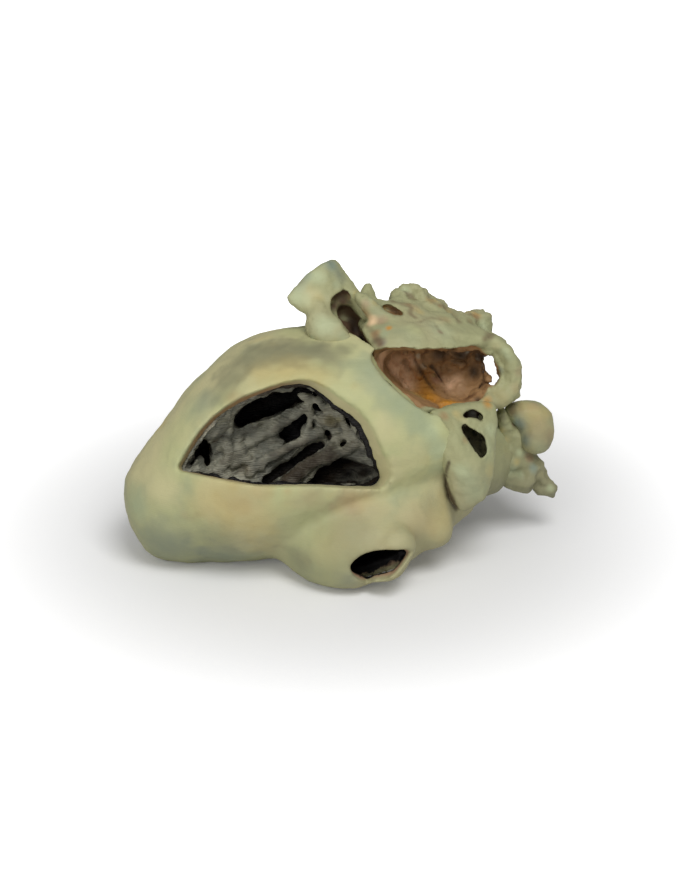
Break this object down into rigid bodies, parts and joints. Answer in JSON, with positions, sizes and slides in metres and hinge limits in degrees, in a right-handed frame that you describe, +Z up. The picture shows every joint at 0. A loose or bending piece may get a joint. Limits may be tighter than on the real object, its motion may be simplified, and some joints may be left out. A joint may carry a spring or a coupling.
{
  "type": "dog heart model",
  "caption": "Anatomical model of a dog heart lying on its right side, with windows cut into the ventricles and the left atrium to show chambers, muscles, cords and valves.",
  "frame": {"origin": "centre of the bounding box at the table plane", "axes": "+X from the apex towards the base of the heart, +Y away from the side with the large window, +Z up from the table; the left side of the heart is up"},
  "size_m": [0.1338, 0.0874, 0.0866],
  "materials": {
    "outer_muscle": "matte",
    "chamber_muscle": "matte",
    "cord_and_valve": "matte",
    "fibrous_tissue": "matte",
    "atrial_wall": "matte",
    "vessel_wall": "matte",
    "auricle_tissue": "matte",
    "fat": "matte"
  },
  "bodies": {
    "root": {"left_ventricle": "outer_muscle", "right_ventricle": "outer_muscle", "trabeculae": "chamber_muscle", "papillary_muscle_cranial": "chamber_muscle", "papillary_muscle_caudal": "chamber_muscle", "left_chordae": "cord_and_valve", "mitral_valve": "cord_and_valve", "moderator_band": "chamber_muscle", "right_papillary_muscles": "chamber_muscle", "right_chordae": "cord_and_valve", "tricuspid_valve": "cord_and_valve", "fibrous_skeleton": "fibrous_tissue", "aortic_valve": "cord_and_valve", "pulmonary_valve": "cord_and_valve", "left_atrium": "atrial_wall", "pulmonary_vein_ring": "vessel_wall", "pulmonary_veins": "vessel_wall", "left_auricle": "auricle_tissue", "right_atrium": "atrial_wall", "coronary_sinus": "vessel_wall", "right_auricle": "auricle_tissue", "aorta": "vessel_wall", "pulmonary_trunk": "vessel_wall", "cranial_vena_cava": "vessel_wall", "caudal_vena_cava": "vessel_wall", "azygos_vein": "vessel_wall", "epicardial_fat": "fat", "coronary_arteries": "fat"}
  },
  "joints": []
}
